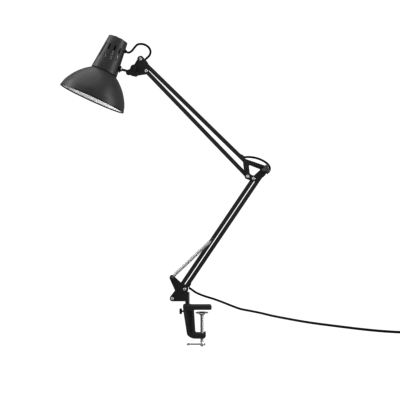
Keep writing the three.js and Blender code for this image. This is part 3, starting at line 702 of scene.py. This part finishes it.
def make_knob(node, spot, body, radius, depth, slot, phase=78):
    """Three-lobed knob: domed front, rounded rims, a turned seat and a shallow dish."""
    front = OUTER_Y + GAP + 2.5
    layers = [
        (0.86, front), (0.96, front + 0.5), (1, front + 1.4), (1, front + depth - 2.4),
        (0.97, front + depth - 1.1), (0.9, front + depth - 0.35), (0.78, front + depth), (0.5, front + depth),
        (0.42, front + depth - 0.5), (0.2, front + depth - 0.9),
    ]
    base = radius * 0.48
    seat = [(0, front - 2.5), (base * 0.94, front - 2.5), (base, front - 2.1), (base, front)]

    def lobes(turn, r, z):
        if z < front or r <= base + 0.01 and z <= front:
            return 0
        return r * (0.25 / 0.75) * math.cos(3 * (turn - math.radians(phase)))

    profile = seat + [(radius * 0.75 * share, z) for share, z in layers] + [(0, front + depth - 0.9)]
    bm = lathe(profile, across(spot), 120, wave=lobes)
    add(node + "_piece", bm, slot, body, node)


def make_springs():
    """Close-wound tension springs, each with a hook round its two pins."""
    wire, radius, hook = 0.6, 2.9, 8
    span = (SPRING_PIN - ANCHOR).length / MM
    body_length = span - 2 * hook
    turns = int(body_length / (2 * wire + 0.06))
    steps = 12
    heading = (SPRING_PIN - ANCHOR).normalized()
    for side, y in (("front", -SPRING_Y), ("rear", SPRING_Y)):
        at = axes(ANCHOR + Y * y * MM, heading)
        coil = []
        for i in range(turns * steps + 1):
            turn = 2 * math.pi * i / steps
            height = hook + body_length * i / (turns * steps)
            coil.append(Vector((radius * math.cos(turn), radius * math.sin(turn), height)))

        def eye(pin_height, way):
            """Hook from the axis round a pin."""
            reach = SPRING_PIN_RADIUS + GAP + wire
            points = [Vector((0, 0, pin_height + way * (hook - 1)))]
            points.append(Vector((0, 0, pin_height + way * 4.4)))
            for k in range(11):
                angle = math.radians(50 - 28 * k)
                height = pin_height + way * reach * math.sin(angle)
                points.append(Vector((reach * math.cos(angle), 0, height)))
            return smooth(points, 3)

        near, far = eye(0, 1), eye(span, -1)
        near.reverse()
        wire_path = [at @ (p * MM) for p in near + coil + far]
        name = f"spring_{side}"
        bm = sweep(wire_path, wire * MM, 8)
        piece = add(name + "_piece", bm, "spring_steel", "springs", name, angle=60)
        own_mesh(piece)


make_rivets()
make_pins()
make_springs()
make_knob("elbow_knob", ELBOW_RIGHT, "elbow_lock", 11.3, 9, "grey_plastic")
make_knob("head_knob", KNUCKLE, "head_lock", 16.5, 10, "black_plastic")
refined("elbow_bolt", 0.5, "zinc_plate", "elbow")
refined("knuckle_bolt", 0.5, "zinc_plate", "head_bracket")


# ---------------------------------------------------------------- brackets and arm rods
def make_brackets():
    refined("swivel_post", 0.4, "black_enamel", "base_bracket")
    for side in ("front", "rear"):
        refined(f"base_plate_{side}", 0.35, "black_enamel", "base_bracket")
        refined(f"elbow_plate_{side}", 0.35, "black_enamel", "elbow")
        refined(f"head_plate_{side}", 0.35, "black_enamel", "head_bracket")


SLOT = {"from": 11, "to": 19, "half": 2.6}


def make_rod(node, body, start, end, holes, sleeved=False):
    """Square tube with rounded corners, drilled through, and slotted where a cord goes in."""
    half = TUBE / 2
    length = (end - start).length / MM
    # local X runs along the rod and local Z to its outer side
    out = (end - start).normalized().cross(-Y)
    at = axes(start, out, -Y)
    section = rounded([(-half, -half, 1.5), (half, -half, 1.5), (half, half, 1.5), (-half, half, 1.5)], 5)
    bore = half - WALL
    hollow = rounded([(-bore, -bore, 0.6), (bore, -bore, 0.6), (bore, bore, 0.6), (-bore, bore, 0.6)], 3)
    # the section lies in local YZ: turn the slab's Y onto the rod
    along = at @ Matrix.Rotation(math.radians(-90), 4, "Z")
    blank = soften(slab(section, -TUBE_END, length + TUBE_END, along), 0.2, 2, 60)
    tools = [slab(hollow, -TUBE_END - 1, length + TUBE_END + 1, along)]
    for x, radius in holes:
        tools.append(rod(radius + GAP, -10, 10, across(start + (end - start).normalized() * x * MM)))
    if sleeved:
        for x0 in (SLOT["from"], length - SLOT["to"]):
            x1 = x0 + SLOT["to"] - SLOT["from"]
            tools.append(bar((x0, -SLOT["half"], 0), (x1, SLOT["half"], half + 1), at))
    add(node + "_piece", boolean(blank, tools), "black_enamel", body, node)


def make_rods():
    lower = (ELBOW_LEFT - BASE_LEFT).length / MM
    spring_at = (SPRING_PIN - BASE_LEFT).length / MM
    left_holes = [(0, PIVOT), (spring_at, SPRING_PIN_RADIUS), (lower, PIVOT)]
    make_rod("lower_rod_left", "lower_left_arm", BASE_LEFT, ELBOW_LEFT, left_holes)
    make_rod("lower_rod_right", "lower_right_arm", BASE_RIGHT, ELBOW_RIGHT, [(0, PIVOT), (lower, BOLT)], True)
    outer = (HEAD_TOP - ARM_OUTER).length / MM
    inner = (HEAD_BOTTOM - ARM_INNER).length / MM
    make_rod("upper_rod_outer", "upper_outer_arm", ARM_OUTER, HEAD_TOP, [(0, PIVOT), (outer, PIVOT)], True)
    make_rod("upper_rod_inner", "upper_inner_arm", ARM_INNER, HEAD_BOTTOM, [(0, PIVOT), (inner, PIVOT)])
    sleeves = {
        "sleeve_lower_base": "lower_right_arm", "sleeve_lower_elbow": "lower_right_arm",
        "sleeve_upper_elbow": "upper_outer_arm", "sleeve_upper_head": "upper_outer_arm",
    }
    for node, body in sleeves.items():
        refined(node, 0.45, "black_plastic", body, 3)


make_brackets()
make_rods()


# ---------------------------------------------------------------- shade
COWL_BOTTOM = (33.9, 75.3)  # radius and height
COWL_TOP = (24.9, 161.8)
COWL_SLANT = (COWL_BOTTOM[0] - COWL_TOP[0]) / (COWL_TOP[1] - COWL_BOTTOM[1])
STEM_RADIUS = 2.9
GLAND_Z = 142


def cowl_radius(z):
    return COWL_BOTTOM[0] - (z - COWL_BOTTOM[1]) * COWL_SLANT


def stem_reach():
    """Distance in mm along the stem from the knuckle to the cowl's outside."""
    start = SHADE.inverted() @ KNUCKLE / MM
    way = SHADE.to_3x3().inverted() @ Vector(JOINTS["head_swivel"]["axis"])
    return (start.x - cowl_radius(start.z)) / -(way.x + COWL_SLANT * way.z)


REACH = stem_reach()


def make_bowl():
    outline = [(84.6, 2.2), (81, 15.5), (74, 29.5), (62, 47), (46.4, 63), (34, 72.4)]
    curve = smooth([Vector((r, z, 0)) for r, z in outline], 8)
    outer = [(p.x, p.y) for p in curve] + [(32.4, 74), (31.7, 75.3), (31.7, 82)]
    inner = [(31.7 - SHEET, 82), (31.7 - SHEET, 75), (31.6, 73.4)]
    inner += [(p.x - SHEET, p.y - 0.35) for p in reversed(curve)]
    roll, middle = 1.35, (83.85, 0.1)
    bead = []
    for k in range(11):
        angle = math.radians(170 + 20 * k)
        bead.append((middle[0] + roll * math.cos(angle), middle[1] + roll * math.sin(angle)))
    inside = range(len(outer), len(outer) + len(inner) - 1)

    def paint(k):
        return 1 if k in inside else 2 if k >= inside.stop else 0

    bm = lathe(outer + inner + bead, SHADE, 160, closed=True, index=paint)
    add("bowl_piece", bm, "shade_enamel", "shade", "bowl_shade", extra=(WHITE_ENAMEL, BLACK_BEAD), angle=50)


def make_cowl():
    dome = [(COWL_TOP[0] - 0.3, 0.75), (COWL_TOP[0] - 1, 1.25), (COWL_TOP[0] - 2.2, 1.5)]
    dome += [(COWL_TOP[0] * 0.6, 2.4), (COWL_TOP[0] * 0.3, 2.85)]
    ring_z = COWL_TOP[1] - (COWL_TOP[1] - COWL_BOTTOM[1]) * 0.35
    outer = [COWL_BOTTOM, (cowl_radius(ring_z), ring_z), COWL_TOP]
    outer += [(r, COWL_TOP[1] + rise) for r, rise in dome] + [(0, COWL_TOP[1] + 3)]
    inner = [(0, COWL_TOP[1] + 2)] + [(r - 0.6, COWL_TOP[1] + rise - SHEET) for r, rise in reversed(dome)]
    inner += [(COWL_TOP[0] - SHEET, COWL_TOP[1] - SHEET), (COWL_BOTTOM[0] - SHEET, COWL_BOTTOM[1])]
    bm = lathe(outer + inner + [COWL_BOTTOM], SHADE, 128)
    bmesh.ops.remove_doubles(bm, verts=bm.verts, dist=1e-6)
    bmesh.ops.recalc_face_normals(bm, faces=bm.faces)
    half = 1.9
    stadium = rounded([(-half, 104, half), (half, 104, half), (half, 142, half), (-half, 142, half)], 5)
    tools = []
    for i in range(11):
        turn = Matrix.Rotation(math.radians(30 * i - 77 + (15 if i > 5 else 0)), 4, "Z")
        tools.append(slab(stadium, -50, -10, SHADE @ turn))
    length, width = 19 / 2 + GAP, 12 / 2 + GAP
    tools.append(bar((-length, -width, 150), (length, width, 175), SHADE))
    tools.append(rod(STEM_RADIUS + GAP, REACH - 8, REACH + 8, STEM))
    gland = SHADE @ axes(place(0, 0, GLAND_Z), X)
    tools.append(rod(3.2 + GAP, 15, 45, gland))
    add("cowl_piece", boolean(bm, tools), "shade_enamel", "shade", "cowl", angle=32)


def make_lampholder():
    body = [
        (14.4, 86), (15, 85.6), (18, 85.6), (18.9, 86.6), (19.5, 90), (19.5, 96), (19, 97), (19.5, 98),
        (19.5, 112), (19.2, 114), (17.5, 124), (16, 127.6), (13, 131), (2, 131), (2, 125), (14.4, 118),
    ]
    add("lampholder_piece", lathe(body, SHADE, 64, closed=True), "holder_ceramic", "shade", "lampholder_body")
    pitch = 3.6

    def thread(turn, r, z):
        return 0.3 * math.sin(2 * math.pi * (z / pitch - turn / (2 * math.pi)))

    rows = 42
    wall = [90 + 24 * k / rows for k in range(rows + 1)]
    shell = [(13.9, z) for z in wall] + [(13.3, z) for z in reversed(wall)]
    bm = lathe(shell, SHADE, 48, closed=True, wave=thread)
    add("screw_shell_piece", bm, "pin_brass", "shade", "lampholder_shell", angle=50)
    contact = [(0, 116), (3, 116), (3.8, 116.3), (4, 116.8), (3.8, 117.4), (1.6, 118.5), (1.6, 128), (0, 128)]
    add("contact_piece", lathe(contact, SHADE, 32), "pin_brass", "shade", "lampholder_contact")
    refined("lampholder_carrier", 0.25, "zinc_plate", "shade")


def make_stem():
    refined("head_stem", 0.5, "black_enamel", "stem")
    bore, seat = STEM_RADIUS + GAP, REACH - 1.2
    flange = [
        (bore, seat - 3), (6.8, seat - 3), (7.4, seat - 2.8), (8.4, seat - 1.9), (8.6, seat - 1.4),
        (8.6, seat), (bore, seat),
    ]
    add("stem_flange_piece", lathe(flange, STEM, 48, closed=True), "black_plastic", "shade", "stem_flange")
    refined("stem_nut", 0.5, "zinc_plate", "stem")
    refined("stem_lock_nut", 0.5, "zinc_plate", "shade")


def make_gland():
    """Tapered strain relief with moulded ribs."""
    wall = cowl_radius(GLAND_Z)
    bore = LOOP_CORD / 2 + 0.15
    profile = [
        (bore, wall - 4), (4.3, wall - 4), (4.3, wall - 2), (3.2, wall - 1.9), (3.2, wall + 0.7),
        (4.8, wall + 0.7),
    ]
    for k in range(3):
        x, r = wall + 1.1 + k * 1.2, 4.7 - 0.4 * k
        profile += [(r, x - 0.2), (r, x + 0.4), (r - 0.7, x + 0.6), (r - 0.7, x + 0.9)]
    profile += [(3.2, wall + 4.4), (bore, wall + 4.6)]
    at = SHADE @ axes(place(0, 0, GLAND_Z), X)
    add("gland_piece", lathe(profile, at, 40, closed=True), "black_plastic", "shade", "cord_gland", angle=40)


make_bowl()
make_cowl()
make_lampholder()
make_stem()
make_gland()
refined("switch_housing", 0.4, "black_plastic", "shade")
refined("rocker_button", 0.5, "black_plastic", "rocker")


# ---------------------------------------------------------------- CAD nodes that stay
for node in ("lead_in_lower_rod", "lead_in_upper_rod"):
    frame["nodes"][node].data.materials.clear()
    frame["nodes"][node].data.materials.append(FINISH["cord_vinyl"])


# ---------------------------------------------------------------- stage
def make_stage():
    """White room with a flat floor far below the lamp. Only the camera sees it: it lights nothing."""
    drop, reach, bend = -0.75, 5.0, 1.5
    profile = [(0, drop), (reach - bend, drop)]
    for k in range(1, 13):
        angle = math.radians(90 * k / 12)
        profile.append((reach - bend + bend * math.sin(angle), drop + bend * (1 - math.cos(angle))))
    profile += [(reach, 4), (0, 5)]
    bm = lathe([(r / MM, z / MM) for r, z in profile])
    mesh = bpy.data.meshes.new("room")
    bm.to_mesh(mesh)
    bm.free()
    material, _, _, shader = new_material("pale_paper")
    shader.inputs["Base Color"].default_value = (0.12, 0.12, 0.12, 1)
    shader.inputs["Roughness"].default_value = 0.9
    shader.inputs["Specular IOR Level"].default_value = 0
    shader.inputs["Emission Color"].default_value = (1, 1, 1, 1)
    shader.inputs["Emission Strength"].default_value = 1.0
    mesh.materials.append(material)
    room = bpy.data.objects.new("room", mesh)
    room.visible_diffuse = False
    room.visible_glossy = False
    room.visible_transmission = False
    room.visible_shadow = False
    bpy.context.scene.collection.objects.link(room)


def make_light(name, spot, target, size, power, spread=180):
    data = bpy.data.lights.new(name, "AREA")
    data.shape = "RECTANGLE"
    data.size, data.size_y = size
    data.energy = power
    data.spread = math.radians(spread)
    light = bpy.data.objects.new(name, data)
    light.matrix_world = axes(Vector(spot), Vector(spot) - Vector(target), Z)
    bpy.context.scene.collection.objects.link(light)


def make_lights():
    world = bpy.data.worlds.new("studio")
    bpy.context.scene.world = world
    world.use_nodes = True
    world.node_tree.nodes["Background"].inputs["Color"].default_value = (1, 1, 1, 1)
    world.node_tree.nodes["Background"].inputs["Strength"].default_value = 0.34
    target = (-0.1, 0, 0.4)
    make_light("left_softbox", (-1.7, -0.1, 0.95), target, (0.9, 2.0), 24)
    make_light("right_softbox", (1.3, -0.4, 0.6), target, (0.6, 1.8), 20)
    make_light("ceiling", (-0.5, -0.1, 2.3), (-0.3, 0, 0.4), (2.6, 2.0), 30)
    make_light("floor_bounce", (-0.62, -0.35, 0.1), (-0.33, 0, 0.72), (0.5, 0.4), 0.75, 70)
    view = bpy.context.scene.view_settings
    view.view_transform = "Standard"
    view.gamma = 0.75


make_stage()
make_lights()
